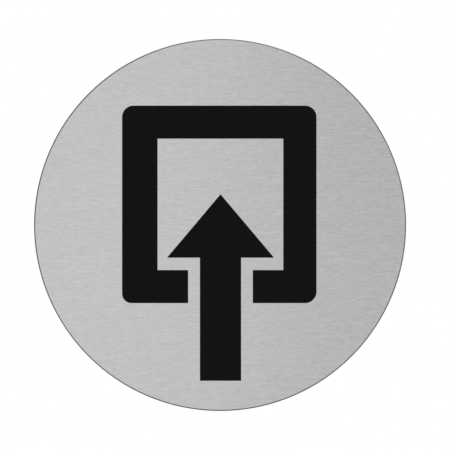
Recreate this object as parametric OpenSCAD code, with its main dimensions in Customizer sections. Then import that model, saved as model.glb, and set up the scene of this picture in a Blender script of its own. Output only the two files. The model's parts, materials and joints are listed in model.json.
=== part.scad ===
// Round all-active push plate: the whole disc is the button. A stainless face
// disc with an inlaid "way in" symbol sits on a cast carrier, which slides on
// four posts against four springs and works a snap-action switch through a
// lever. The fixed base is a plate in a moulded weather ring on a wall gasket.
//
// Frame: origin on the disc's axis in the plane of the wall, +Y into the wall,
// -Y out of it (the side that is pushed), +Z up.
// Modules are drawn with x to the right, y up and z out of the wall, and
// place() turns them into that frame.

/* [Face disc] */
// Diameter of the face disc
disc_d = 114.3; // [113.8:0.1:115]
// Thickness of the face disc
disc_t = 2.5; // [2:0.1:3]
// Height of the disc's front face above the wall
face_z = 26; // [25.9:0.1:27]
// Width of the broken edge round the front of the disc
edge_break = 0.3; // [0.1:0.05:0.5]
// Depth of the pockets that hold the symbol
inlay_depth = 0.5; // [0.3:0.05:0.8]

/* [Symbol] */
// Left side of the symbol's frame, from the disc's axis
frame_x0 = -30.1; // [-31:0.1:-29]
// Right side of the symbol's frame
frame_x1 = 29.6; // [29:0.1:31]
// Bottom of the symbol's frame
frame_y0 = -24.0; // [-25:0.1:-23]
// Top of the symbol's frame
frame_y1 = 36.65; // [36:0.05:37.5]
// Thickness of the frame's bars
bar_w = 10.2; // [9.5:0.1:10.8]
// Width of the gap in the bottom bar
gap_w = 19.84; // [18:0.02:21]
// Radius of the frame's outer corners
frame_r = 3.5; // [2:0.1:5]
// Width of the arrow's shaft
shaft_w = 12.66; // [11:0.02:14]
// Width across the arrow's head
head_w = 32.9; // [30:0.1:35]
// Bottom of the arrow
arrow_y0 = -47.85; // [-49:0.05:-45]
// Base of the arrow's head
head_y = -10.05; // [-11:0.05:-9]
// Point of the arrow
tip_y = 9.45; // [8:0.05:12]

/* [Travel and guides] */
// How far the plate moves when it is pushed
travel = 3; // [2.8:0.1:3]
// Half the spacing of the guide posts across
post_x = 19; // [18.5:0.1:20]
// Half the spacing of the guide posts up and down
post_y = 27; // [26:0.1:27.5]
// Diameter of the guide posts
post_d = 5; // [4.8:0.1:5.2]
// Radial clearance of a post in its bush
post_gap = 0.05; // [0.02:0.01:0.09]
// Wire diameter of the return springs
wire_d = 0.7; // [0.5:0.05:0.8]
// Turns of a return spring, end turns included
spring_turns = 6.5; // [4.5:0.5:6.5]

/* [Base] */
// Diameter of the base plate
base_d = 100; // [99:0.5:100]
// Thickness of the base plate
base_t = 2; // [1.8:0.1:2]
// Outer diameter of the weather ring and the gasket
ring_d = 113; // [112:0.5:113]
// Thickness of the wall gasket
gasket_t = 2; // [1.5:0.1:2.5]
// Spacing of the upper and lower wall screws
screw_pitch_v = 83.34; // [82:0.02:84]
// Spacing of the left and right wall screws
screw_pitch_h = 60.3; // [59:0.1:61]
// Diameter of the wall screw holes
screw_hole_d = 4.4; // [4:0.1:4.6]

/* [Switch] */
// Length of the switch case
case_l = 27.8; // [27.6:0.1:28]
// Height of the switch case
case_h = 15.9; // [15.7:0.1:16]
// Thickness of the switch case
case_w = 10.3; // [10.2:0.05:10.4]
// Distance from the lever's pin to the striker
lever_reach = 16; // [15.9:0.1:16.2]
// Distance from the lever's pin to the switch plunger
plunger_reach = 8; // [7.8:0.1:8.2]

/* [Hidden] */
$fn = 72;

// Heights above the wall, from the wall outwards
ring_z0 = gasket_t;
plate_z0 = 6;
plate_z1 = plate_z0 + base_t;
slider_z0 = 15;
slider_z1 = 20;
carrier_z1 = face_z - disc_t - 0.5;
disc_z0 = face_z - disc_t;
skirt_z0 = 9.5;
seat_z0 = plate_z1 + 1;
seat_z1 = 17.5;
post_z0 = -1;

disc_r = disc_d / 2;
skirt_ro = 56.3;
skirt_ri = 53.6;
slider_r = 53.3;
wall_ro = 53;
wall_ri = 50.4;
flange_ri = 45;
grub_z = 17.4;
grub_angles = [30, 150, 270];
ring_screw_r = 47.4;
ring_screw_angles = [45, 135, 225, 315];
wall_screws = [[0, screw_pitch_v / 2], [0, -screw_pitch_v / 2],
               [screw_pitch_h / 2, 0], [-screw_pitch_h / 2, 0]];
foot_screws = [[14, -13], [14, 3]];

// The switch: its lever is worked on the disc's axis, so its pin lies below it
pin_y = -lever_reach;
pin_z = 5.5;
lever_turn = travel / lever_reach * 180 / PI;
case_y0 = pin_y - 2.9;
case_y1 = case_y0 + case_l;
case_z1 = 4;
case_z0 = case_z1 - case_h;
case_x = case_w / 2;
split_x = case_x - 2;
plunger_y = pin_y + plunger_reach;
hole_a = [case_y0 + 2.8, case_z0 + 2.8];
hole_b = [case_y1 - 2.8, case_z1 - 2.8];
blade_y = 3;
blade_z = -3;
blade_reach = 15;
blade_turn = 1.0 / (blade_y - plunger_y) * 180 / PI;
contact_y = blade_y - blade_reach;
tab_z0 = -19.5;

STEEL = [0.76, 0.76, 0.75];
ZINC = [0.72, 0.74, 0.76];
BLACK = [0.08, 0.08, 0.08];
CAST = [0.62, 0.63, 0.64];
BRASS = [0.80, 0.66, 0.36];

module place() { rotate([90, 0, 0]) children(); }

// A solid turned about the disc's axis from [r, z] points
module turned(points) { rotate_extrude($fn = 120) polygon(points); }

// A flat ring
module ring(ro, ri, z0, z1) {
    translate([0, 0, z0]) difference() {
        cylinder(r = ro, h = z1 - z0, $fn = 120);
        translate([0, 0, -1]) cylinder(r = ri, h = z1 - z0 + 2, $fn = 120);
    }
}

module at_posts() {
    for (sx = [-1, 1], sy = [-1, 1]) translate([sx * post_x, sy * post_y, 0]) children();
}

module at_angles(angles, r) {
    for (a = angles) rotate([0, 0, a]) translate([r, 0, 0]) children();
}

// A cylinder along x
module bar_x(r, x0, x1, y, z) {
    translate([x0, y, z]) rotate([0, 90, 0]) cylinder(r = r, h = x1 - x0, $fn = 48);
}

// A rectangle with its own radius at each corner: lower left, lower right, upper right, upper left
module corner_rect(x0, y0, x1, y1, r) {
    difference() {
        translate([x0, y0]) square([x1 - x0, y1 - y0]);
        translate([x0 - 1, y0 - 1]) square(r[0] + 1);
        translate([x1 - r[1], y0 - 1]) square(r[1] + 1);
        translate([x1 - r[2], y1 - r[2]]) square(r[2] + 1);
        translate([x0 - 1, y1 - r[3]]) square(r[3] + 1);
    }
    translate([x0 + r[0], y0 + r[0]]) circle(r[0]);
    translate([x1 - r[1], y0 + r[1]]) circle(r[1]);
    translate([x1 - r[2], y1 - r[2]]) circle(r[2]);
    translate([x0 + r[3], y1 - r[3]]) circle(r[3]);
}

module frame_2d() {
    difference() {
        corner_rect(frame_x0, frame_y0, frame_x1, frame_y1,
                    [frame_r - 0.6, frame_r, frame_r, frame_r]);
        translate([frame_x0 + bar_w + 0.7, frame_y0 + bar_w - 0.05])
            square([frame_x1 - frame_x0 - 2 * bar_w - 0.7, frame_y1 - frame_y0 - 2 * bar_w + 0.1]);
        translate([0.11 - gap_w / 2, frame_y0 - 1]) square([gap_w, bar_w + 2]);
    }
}

module arrow_2d() {
    translate([0.13, 0]) polygon([
        [-shaft_w / 2, arrow_y0], [shaft_w / 2, arrow_y0], [shaft_w / 2, head_y],
        [head_w / 2, head_y], [0, tip_y], [-head_w / 2, head_y], [-shaft_w / 2, head_y]
    ]);
}

// ---- The push plate -------------------------------------------------------

module face_disc() color(STEEL) place() difference() {
    turned([
        [0, disc_z0], [disc_r - 0.15, disc_z0], [disc_r, disc_z0 + 0.15],
        [disc_r, face_z - edge_break], [disc_r - edge_break, face_z], [0, face_z]
    ]);
    translate([0, 0, face_z - inlay_depth]) linear_extrude(inlay_depth + 1) frame_2d();
    translate([0, 0, face_z - inlay_depth]) linear_extrude(inlay_depth + 1) arrow_2d();
}

module symbol_frame() color(BLACK) place()
    translate([0, 0, face_z - inlay_depth]) linear_extrude(inlay_depth - 0.02) frame_2d();

module symbol_arrow() color(BLACK) place()
    translate([0, 0, face_z - inlay_depth]) linear_extrude(inlay_depth - 0.02) arrow_2d();

module face_tape() color([0.2, 0.2, 0.2]) place()
    translate([0, 0, carrier_z1]) cylinder(r = 54.6, h = disc_z0 - carrier_z1, $fn = 120);

module face_carrier() color(CAST) place() difference() {
    turned([
        [0, slider_z1], [skirt_ri, slider_z1], [skirt_ri, skirt_z0 + 0.4],
        [skirt_ri + 0.4, skirt_z0], [skirt_ro - 0.6, skirt_z0], [skirt_ro, skirt_z0 + 0.6],
        [skirt_ro, carrier_z1 - 0.8], [skirt_ro - 0.8, carrier_z1], [0, carrier_z1]
    ]);
    at_angles(grub_angles, 50) translate([0, 0, grub_z])
        rotate([0, 90, 0]) cylinder(r = 1.54, h = 10, $fn = 48);
}

module grub_screws() color([0.2, 0.2, 0.22]) place() at_angles(grub_angles, 51)
    translate([0, 0, grub_z]) rotate([0, 90, 0]) difference() {
        cylinder(r = 1.5, h = 5, $fn = 48);
        translate([0, 0, 3.2]) cylinder(d = 1.73, h = 3, $fn = 6);
    }

module slider_plate() color(CAST) place() difference() {
    turned([
        [0, slider_z0], [slider_r - 0.5, slider_z0], [slider_r, slider_z0 + 0.5],
        [slider_r, slider_z1 - 0.5], [slider_r - 0.5, slider_z1], [0, slider_z1]
    ]);
    // Spring pockets, with the hole and countersink of each post's screw
    at_posts() {
        translate([0, 0, slider_z0 - 1]) cylinder(d = 12.4, h = seat_z1 - slider_z0 + 1, $fn = 64);
        translate([0, 0, slider_z0]) cylinder(r = 1.55, h = 10, $fn = 48);
        translate([0, 0, slider_z1 - 1.65]) cylinder(r1 = 1.55, r2 = 2.95, h = 1.65, $fn = 48);
        translate([0, 0, slider_z1 - 0.01]) cylinder(r = 2.95, h = 1, $fn = 48);
    }
    // Ways through to the wall screws
    for (p = wall_screws) translate([p[0], p[1], slider_z0 - 1]) cylinder(d = 9.5, h = 8, $fn = 64);
    // Striker and grub screw holes
    translate([0, 0, slider_z0 - 1]) cylinder(r = 2.04, h = 8, $fn = 48);
    at_angles(grub_angles, 50.6) translate([0, 0, grub_z])
        rotate([0, 90, 0]) cylinder(r = 1.54, h = 5, $fn = 48);
    // Pocket behind the carrier for the striker's slot
    translate([0, 0, slider_z1 - 1]) cylinder(d = 9, h = 2, $fn = 48);
}

module guide_posts() color(STEEL) place() at_posts() difference() {
    rotate_extrude() polygon([
        [0, post_z0], [post_d / 2 - 0.5, post_z0], [post_d / 2, post_z0 + 0.5],
        [post_d / 2, 1.3], [2, 1.3], [2, 2.05], [post_d / 2, 2.05],
        [post_d / 2, seat_z1], [0, seat_z1]
    ]);
    translate([0, 0, 12.4]) cylinder(r = 1.54, h = 10, $fn = 48);
}

module post_screws() color(ZINC) place() at_posts() difference() {
    rotate_extrude() polygon([
        [0, 13], [1.3, 13], [1.5, 13.2], [1.5, slider_z1 - 1.45],
        [2.8, slider_z1 - 0.15], [2.8, slider_z1 - 0.05], [0, slider_z1 - 0.05]
    ]);
    translate([0, 0, slider_z1 - 1.2]) cylinder(d = 2.31, h = 3, $fn = 6);
}

module post_washers() color(ZINC) place() at_posts()
    translate([0, 0, 2.15]) difference() {
        cylinder(d = 10, h = 0.8);
        translate([0, 0, -1]) cylinder(d = post_d + 0.1, h = 3);
    }

// An E-clip: a ring open on one side that grips the groove with three teeth
module retaining_clips() color([0.25, 0.25, 0.27]) place() at_posts()
    translate([0, 0, 1.35]) linear_extrude(0.65) {
        difference() {
            circle(d = 9);
            circle(d = 6.4);
            translate([-1.9, -6]) square([3.8, 6]);
        }
        for (a = [-25, 90, 205]) rotate(a) difference() {
            translate([1.9, -0.8]) square([1.6, 1.6]);
            circle(r = 2.04);
        }
    }

module striker_screw() color(ZINC) place() difference() {
    rotate_extrude() union() {
        translate([0, 10.5]) square([2, 8.9]);
        translate([0, 10.45]) square([1.5, 0.1]);
        intersection() {
            translate([0, 10.45]) circle(1.5);
            translate([0, 8]) square([3, 2.46]);
        }
    }
    translate([-0.4, -3, 18.4]) cube([0.8, 6, 2]);
}

module striker_nut() color(ZINC) place() translate([0, 0, slider_z0 - 3.2]) difference() {
    cylinder(d = 7 / cos(30), h = 3.2, $fn = 6);
    translate([0, 0, -1]) cylinder(r = 2.04, h = 6);
}

// ---- The base -------------------------------------------------------------

module wall_gasket() color([0.1, 0.1, 0.1]) place() difference() {
    ring(ring_d / 2 - 0.5, flange_ri + 0.5, 0, gasket_t);
    // Drain at the bottom
    translate([-3, -60, -1]) cube([6, 20, gasket_t + 2]);
}

module weather_ring() color(BLACK) place() difference() {
    turned([
        [flange_ri, ring_z0], [ring_d / 2, ring_z0], [ring_d / 2, 5.2],
        [ring_d / 2 - 0.8, plate_z0], [wall_ro, plate_z0], [wall_ro, 11.1],
        [wall_ro - 0.4, 11.5], [wall_ri + 0.4, 11.5], [wall_ri, 11.1],
        [wall_ri, plate_z0], [flange_ri, plate_z0]
    ]);
    at_angles(ring_screw_angles, ring_screw_r) translate([0, 0, 2.7]) cylinder(r = 1.5, h = 8, $fn = 48);
    // Drain through the wall at the bottom
    translate([-2.5, -56, plate_z1 + 0.2]) cube([5, 8, 1.8]);
}

module base_plate() color(ZINC) place() difference() {
    translate([0, 0, plate_z0]) cylinder(d = base_d, h = base_t, $fn = 120);
    translate([0, 0, plate_z0 - 1]) {
        for (p = wall_screws) translate(p) cylinder(d = screw_hole_d, h = base_t + 2, $fn = 48);
        at_posts() cylinder(r = 4.03, h = base_t + 2, $fn = 48);
        for (p = foot_screws) translate(p) cylinder(r = 1.6, h = base_t + 2, $fn = 48);
        at_angles(ring_screw_angles, ring_screw_r) cylinder(r = 1.6, h = base_t + 2, $fn = 48);
        // Window for the switch lever
        linear_extrude(base_t + 2)
            corner_rect(-5.5, case_y0 - 0.6, 5.5, case_y1 + 0.6, [2, 2, 2, 2]);
    }
}

module pan_screw(r, head_r, head_h, length, drive) difference() {
    union() {
        translate([0, 0, -length]) cylinder(r = r, h = length, $fn = 48);
        cylinder(r = head_r, h = head_h - 0.4, $fn = 48);
        translate([0, 0, head_h - 0.4]) cylinder(r1 = head_r, r2 = head_r - 0.6, h = 0.4, $fn = 48);
    }
    // Cross recess
    for (a = [0, 90]) rotate([0, 0, a])
        translate([-drive / 2, -0.35, head_h - 1]) cube([drive, 0.7, 2]);
}

module ring_screws() color(ZINC) place() at_angles(ring_screw_angles, ring_screw_r)
    translate([0, 0, plate_z1]) pan_screw(1.45, 2.6, 1.8, 5, 2.8);

module guide_bushes() color([0.93, 0.92, 0.88]) place() at_posts() difference() {
    union() {
        translate([0, 0, 3]) cylinder(r = 4, h = 11.4, $fn = 64);
        translate([0, 0, plate_z1]) cylinder(r = 6, h = 1, $fn = 64);
    }
    translate([0, 0, 2]) cylinder(r = post_d / 2 + post_gap, h = 14, $fn = 64);
}

// A compression spring with closed ends, as one tube swept along its coil
coil_steps = 10;
coil_sides = 6;
coil_r = 4.85;
coil_n = round(spring_turns * coil_steps);
function coil_h(t) = lookup(t, [
    [0, seat_z0 + wire_d / 2], [0.9, seat_z0 + wire_d * 1.12],
    [spring_turns - 0.9, seat_z1 - wire_d * 1.12], [spring_turns, seat_z1 - wire_d / 2]
]);
function coil_point(i, j) = let (
    a = i / coil_steps * 360, b = j / coil_sides * 360,
    r = coil_r + wire_d / 2 * cos(b)
) [r * cos(a), r * sin(a), coil_h(i / coil_steps) + (wire_d / 2 - 0.01) * sin(b)];

module spring() polyhedron(
    points = [for (i = [0:coil_n], j = [0:coil_sides - 1]) coil_point(i, j)],
    faces = concat(
        [[for (j = [0:coil_sides - 1]) j]],
        [for (i = [0:coil_n - 1], j = [0:coil_sides - 1]) let (k = (j + 1) % coil_sides)
            [i * coil_sides + j, (i + 1) * coil_sides + j, (i + 1) * coil_sides + k, i * coil_sides + k]],
        [[for (j = [coil_sides - 1:-1:0]) coil_n * coil_sides + j]]
    )
);

module return_springs() color(STEEL) place() at_posts() spring();

// An angle: the leg runs back beside the switch, the foot lies under the base plate
module switch_bracket() color(ZINC) place() difference() {
    translate([0, case_y1 - 1, 0]) rotate([90, 0, 0]) linear_extrude(case_l - 2) {
        translate([case_x, case_z0 + 0.4]) square([1.5, plate_z0 - 2 - case_z0 - 0.4]);
        translate([case_x + 2, plate_z0 - 1.5]) square([13, 1.5]);
        translate([case_x + 2, plate_z0 - 2]) difference() {
            intersection() {
                circle(2);
                translate([-3, 0]) square(3);
            }
            circle(0.5);
        }
    }
    for (p = foot_screws) translate([p[0], p[1], 0]) cylinder(r = 1.6, h = 10, $fn = 48);
    for (h = [hole_a, hole_b]) bar_x(1.6, case_x - 1, case_x + 3, h[0], h[1]);
    // Trimmed corners of the foot
    for (y = [case_y0 + 1, case_y1 - 1]) translate([case_x + 15, y, 0])
        rotate([0, 0, 45]) translate([-2.5, -2.5, 0]) cube([5, 5, 10]);
}

module bracket_screws() color(ZINC) place() for (p = foot_screws)
    translate([p[0], p[1], plate_z1]) pan_screw(1.5, 2.8, 2, 6.9, 3.2);

module bracket_nuts() color(ZINC) place() for (p = foot_screws)
    translate([p[0], p[1], plate_z0 - 1.5 - 2.4]) difference() {
        cylinder(d = 5.5 / cos(30), h = 2.4, $fn = 6);
        translate([0, 0, -1]) cylinder(r = 1.54, h = 5, $fn = 48);
    }

module switch_screws() color(ZINC) place() for (h = [hole_a, hole_b])
    translate([-case_x, h[0], h[1]]) rotate([0, -90, 0]) pan_screw(1.5, 2.8, 2, case_w + 4.6, 3.2);

module switch_nuts() color(ZINC) place() for (h = [hole_a, hole_b])
    translate([case_x + 1.5, h[0], h[1]]) rotate([0, 90, 0]) difference() {
        cylinder(d = 5.5 / cos(30), h = 2.4, $fn = 6);
        translate([0, 0, -1]) cylinder(r = 1.54, h = 5, $fn = 48);
    }

// ---- The switch -----------------------------------------------------------

// The case's outline seen from the side, with the ear that holds the lever's pin
module case_ear(x0, x1) difference() {
    union() {
        translate([x0, pin_y - 1.5, case_z1 - 0.01]) cube([x1 - x0, 3, pin_z - case_z1 + 0.01]);
        bar_x(1.5, x0, x1, pin_y, pin_z);
    }
    bar_x(0.62, x0 - 1, x1 + 1, pin_y, pin_z);
}

module switch_case() color([0.13, 0.12, 0.12]) place() {
    difference() {
        translate([-case_x, case_y0, case_z0]) cube([split_x + case_x, case_l, case_h]);
        // Cavity, stepped round the two mounting holes
        difference() {
            translate([-case_x + 1.5, case_y0 + 1.7, case_z0 + 1.7])
                cube([case_w, case_l - 3.4, case_h - 3.4]);
            translate([-10, case_y0, case_z0]) cube([20, 5.7, 5.7]);
            translate([-10, case_y1 - 5.7, case_z1 - 5.7]) cube([20, 6, 6]);
        }
        for (h = [hole_a, hole_b]) bar_x(1.55, -10, 10, h[0], h[1]);
        // Plunger guide
        translate([0, plunger_y, 0]) cylinder(r = 1.28, h = 10, $fn = 48);
        // Ways out for the terminals
        translate([-2.45, blade_y - 0.45, case_z0 - 1]) cube([4.9, 0.9, 4]);
        translate([-2.45, contact_y + 3.55, case_z0 - 1]) cube([4.9, 0.9, 4]);
        translate([-2.45, case_y0 - 1, -1.75]) cube([4.9, 4, 0.9]);
    }
    case_ear(-case_x + 0.8, -case_x + 2);
}

module switch_cover() color([0.55, 0.12, 0.10]) place() {
    difference() {
        translate([split_x, case_y0, case_z0]) cube([2, case_l, case_h]);
        for (h = [hole_a, hole_b]) bar_x(1.55, 0, 10, h[0], h[1]);
    }
    case_ear(case_x - 2, case_x - 0.8);
}

module lever_pin() color(STEEL) place() bar_x(0.6, -case_x + 0.6, case_x - 0.6, pin_y, pin_z);

// A quick-connect tab pointing back: a bevelled blade with a hole
module tab(y) difference() {
    translate([-2.4, y - 0.4, tab_z0]) cube([4.8, 0.8, 10]);
    for (s = [-1, 1]) translate([s * 2.4, y, tab_z0]) rotate([0, 45, 0]) cube([1.4, 3, 1.4], center = true);
    translate([0, y, tab_z0 + 3]) rotate([90, 0, 0]) cylinder(r = 0.8, h = 3, center = true, $fn = 32);
}

module terminal_common() color(BRASS) place() {
    tab(blade_y);
    translate([-2.4, blade_y - 0.4, tab_z0 + 9.9]) cube([4.8, 0.8, 4]);
    // Two ears carry the pin of the snap blade
    for (s = [-1, 1]) difference() {
        union() {
            translate([s > 0 ? 1.8 : -2.4, blade_y - 0.8, blade_z - 2.8]) cube([0.6, 1.6, 2.8]);
            bar_x(0.8, s > 0 ? 1.8 : -2.4, s > 0 ? 2.4 : -1.8, blade_y, blade_z);
        }
        bar_x(0.42, -5, 5, blade_y, blade_z);
    }
}

module terminal_open() color(BRASS) place() {
    tab(contact_y + 4);
    translate([-2.4, contact_y + 3.6, tab_z0 + 9.9]) cube([4.8, 0.8, -6.6 - tab_z0 - 9.9]);
    translate([-2.4, contact_y - 1.1, -6.65]) cube([4.8, 5.5, 0.8]);
}

module terminal_closed() color(BRASS) place() difference() {
    translate([-2.4, case_y0 - 7, -1.7]) cube([4.8, contact_y + 1.6 - case_y0 + 7, 0.8]);
    for (s = [-1, 1]) translate([s * 2.4, case_y0 - 7, -1.3]) rotate([0, 0, 45]) cube([1.4, 1.4, 3], center = true);
    translate([0, case_y0 - 4, -3]) cylinder(r = 0.8, h = 4, $fn = 32);
}

module fixed_contacts() color([0.85, 0.85, 0.85]) place() {
    translate([0, contact_y, -2.3]) cylinder(r = 1.5, h = 0.6, $fn = 48);
    translate([0, contact_y, -5.85]) cylinder(r = 1.5, h = 0.6, $fn = 48);
}

module blade_pin() color(STEEL) place() bar_x(0.4, -2.4, 2.4, blade_y, blade_z);

// Drawn as it lies when pushed home, then turned back to rest about its pin
module switch_lever() color(ZINC) place()
    translate([0, pin_y, pin_z]) rotate([lever_turn, 0, 0]) {
        difference() {
            union() {
                rotate([0, 90, 0]) cylinder(r = 1.2, h = 5.8, center = true, $fn = 48);
                translate([-2.4, 0, -0.25]) cube([4.8, lever_reach + 4, 0.5]);
            }
            rotate([0, 90, 0]) cylinder(r = 0.65, h = 8, center = true, $fn = 48);
            // Clipped corners at the free end
            for (s = [-1, 1]) translate([s * 2.4, lever_reach + 4, 0])
                rotate([0, 0, 45]) cube([1.6, 1.6, 3], center = true);
        }
    }

module switch_plunger() color([0.85, 0.82, 0.2]) place() translate([0, plunger_y, 0]) {
    rotate_extrude() {
        translate([0, -2.1]) square([1.2, 7.6]);
        intersection() {
            translate([0, 5.45]) circle(1.2);
            translate([0, 5.4]) square([2, 1.25]);
        }
    }
    // Collar that keeps it in the case
    translate([0, 0, 1.05]) cylinder(r = 2, h = 1.2, $fn = 48);
}

module snap_blade() color([0.78, 0.6, 0.35]) place() difference() {
    union() {
        bar_x(0.8, -1.6, 1.6, blade_y, blade_z);
        translate([-1.6, contact_y - 1.1, blade_z - 0.15]) cube([3.2, blade_y - contact_y + 1.1, 0.3]);
    }
    bar_x(0.45, -5, 5, blade_y, blade_z);
    translate([0, contact_y, blade_z - 1]) cylinder(r = 0.82, h = 2, $fn = 48);
}

module moving_contact() color([0.85, 0.85, 0.85]) place() translate([0, contact_y, blade_z]) {
    translate([0, 0, 0.15]) cylinder(r = 1.4, h = 0.5, $fn = 48);
    translate([0, 0, -0.65]) cylinder(r = 1.4, h = 0.5, $fn = 48);
    translate([0, 0, -0.2]) cylinder(r = 0.8, h = 0.4, $fn = 48);
}

face_disc();
symbol_frame();
symbol_arrow();
face_tape();
face_carrier();
grub_screws();
slider_plate();
guide_posts();
post_screws();
post_washers();
retaining_clips();
striker_screw();
striker_nut();
wall_gasket();
weather_ring();
base_plate();
ring_screws();
guide_bushes();
return_springs();
switch_bracket();
bracket_screws();
bracket_nuts();
switch_screws();
switch_nuts();
switch_case();
switch_cover();
lever_pin();
terminal_common();
terminal_open();
terminal_closed();
fixed_contacts();
blade_pin();
switch_lever();
switch_plunger();
snap_blade();
moving_contact();
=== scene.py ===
import json
import math

import bmesh
import bpy
import numpy as np
from mathutils import Matrix, Vector, geometry


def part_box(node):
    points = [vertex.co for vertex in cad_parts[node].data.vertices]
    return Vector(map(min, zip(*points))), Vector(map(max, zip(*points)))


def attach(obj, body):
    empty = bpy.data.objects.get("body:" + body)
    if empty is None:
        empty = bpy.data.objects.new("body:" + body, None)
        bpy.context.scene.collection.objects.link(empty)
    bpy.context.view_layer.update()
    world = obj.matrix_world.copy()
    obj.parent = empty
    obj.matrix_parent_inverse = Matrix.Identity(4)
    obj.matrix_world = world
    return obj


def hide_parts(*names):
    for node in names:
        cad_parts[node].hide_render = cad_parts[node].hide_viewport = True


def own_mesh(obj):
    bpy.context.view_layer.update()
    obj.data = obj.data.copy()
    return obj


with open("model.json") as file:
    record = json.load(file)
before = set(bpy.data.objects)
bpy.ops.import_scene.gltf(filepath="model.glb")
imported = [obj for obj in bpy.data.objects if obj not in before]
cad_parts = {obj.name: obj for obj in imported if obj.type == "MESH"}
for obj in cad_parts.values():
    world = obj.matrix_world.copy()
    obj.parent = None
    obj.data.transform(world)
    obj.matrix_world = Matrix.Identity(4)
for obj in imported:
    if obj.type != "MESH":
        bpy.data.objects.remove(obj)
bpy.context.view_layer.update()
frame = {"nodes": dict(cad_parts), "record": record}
SCENE = bpy.context.scene
PI = math.pi

# ---------------------------------------------------------------------------
# The camera, straight on to the face as the plate is looked at on its wall
# ---------------------------------------------------------------------------

lo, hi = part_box("face_disc")
FACE_Y = lo.y                       # the face's front plane
DISC_R = (hi.x - lo.x) / 2
FIT = 2 * DISC_R * 450 / 372.2      # what the frame's width covers at the face
DISTANCE = 0.90
cam = bpy.data.objects.new("camera", bpy.data.cameras.new("camera"))
SCENE.collection.objects.link(cam)
cam.data.sensor_width = 36
cam.data.lens = 36 * DISTANCE / FIT
cam.location = (FIT * (225 - 220.1) / 450, FACE_Y - DISTANCE, -FIT * 0.04 / 450)
cam.rotation_euler = (PI / 2, 0, 0)
cam.data.clip_start, cam.data.clip_end = 0.01, 20
SCENE.camera = cam

SCENE.view_settings.view_transform = "Standard"
SCENE.view_settings.look = "None"
SCENE.view_settings.exposure = 0
SCENE.view_settings.gamma = 1

# ---------------------------------------------------------------------------
# Shape tools. Pieces are drawn in millimetres with x right, y up and z out of
# the wall, like the CAD, and PLACE turns them into the row's frame.
# ---------------------------------------------------------------------------

PLACE = Matrix(((0.001, 0, 0, 0), (0, 0, -0.001, 0), (0, 0.001, 0, 0), (0, 0, 0, 1)))


def shift(x, y, z):
    return Matrix.Translation((x, y, z))


def turn(deg, axis):
    return Matrix.Rotation(math.radians(deg), 4, axis)


def fillet(pts, radii, closed=True, steps=4):
    """The same outline with each corner rounded to its own radius."""
    out = []
    n = len(pts)
    if not hasattr(radii, "__len__"):
        radii = [radii] * n
    for i, p in enumerate(pts):
        r = radii[i]
        if r <= 0 or (not closed and i in (0, n - 1)):
            out.append(tuple(p))
            continue
        a, b, c = Vector(pts[i - 1]), Vector(p), Vector(pts[(i + 1) % n])
        u, v = (a - b), (c - b)
        lu, lv = u.length, v.length
        u.normalize(), v.normalize()
        half = u.angle(v, 0) / 2
        if half < 1e-3 or abs(half - PI / 2) < 1e-3:
            out.append(tuple(p))
            continue
        t = min(r / math.tan(half), lu * 0.49, lv * 0.49)
        rr = t * math.tan(half)
        mid = (u + v).normalized()
        o = b + mid * (rr / math.sin(half))
        s, e = b + u * t - o, b + v * t - o
        a0, a1 = math.atan2(s.y, s.x), math.atan2(e.y, e.x)
        d = (a1 - a0 + PI) % (2 * PI) - PI
        for k in range(steps + 1):
            q = a0 + d * k / steps
            out.append((o.x + rr * math.cos(q), o.y + rr * math.sin(q)))
    return out


def circle(r, n=64, cx=0.0, cy=0.0, a0=0.0):
    return [(cx + r * math.cos(a0 + 2 * PI * i / n), cy + r * math.sin(a0 + 2 * PI * i / n)) for i in range(n)]


def rect(x0, y0, x1, y1):
    return [(x0, y0), (x1, y0), (x1, y1), (x0, y1)]


def lathe(profile, n=96, a0=0.0, a1=360.0, bm=None, m=None, closed=True):
    """A profile of (r, z) points turned about z. closed: the profile is a loop; otherwise it runs from axis to axis."""
    bm = bm or bmesh.new()
    m = m or Matrix.Identity(4)
    whole = abs(a1 - a0 - 360) < 1e-6
    steps = n if whole else n + 1
    rings = []
    for j in range(steps):
        a = math.radians(a0 + (a1 - a0) * j / n)
        ring = []
        for i, (r, z) in enumerate(profile):
            if r < 1e-9 and j:
                ring.append(rings[0][i])
            else:
                ring.append(bm.verts.new(m @ Vector((r * math.cos(a), r * math.sin(a), z))))
        rings.append(ring)
    k = len(profile)
    last = k if closed else k - 1
    for j in range(n):
        p, q = rings[j], rings[(j + 1) % steps]
        for i in range(last):
            a, b = i, (i + 1) % k
            vs = []
            for v in (p[a], q[a], q[b], p[b]):
                if v not in vs:
                    vs.append(v)
            if len(vs) > 2:
                bm.faces.new(vs)
    if not whole and closed:
        bm.faces.new(rings[0])
        bm.faces.new(list(reversed(rings[-1])))
    return bm


def area_of(loop):
    return sum(loop[i - 1][0] * p[1] - p[0] * loop[i - 1][1] for i, p in enumerate(loop)) / 2


def inset(loop, d):
    """The loop moved inwards by d (outwards for a hole), with mitred corners."""
    n = len(loop)
    s = 1 if area_of(loop) > 0 else -1
    out = []
    for i in range(n):
        a, b, c = Vector(loop[i - 1]), Vector(loop[i]), Vector(loop[(i + 1) % n])
        e, f = (b - a).normalized(), (c - b).normalized()
        ne, nf = Vector((-e.y, e.x)) * s, Vector((-f.y, f.x)) * s
        h = ne + nf
        if h.length < 1e-6:
            h = ne.copy()
        h.normalize()
        out.append(tuple(b + h * (d / max(h.dot(ne), 0.3))))
    return out


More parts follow.
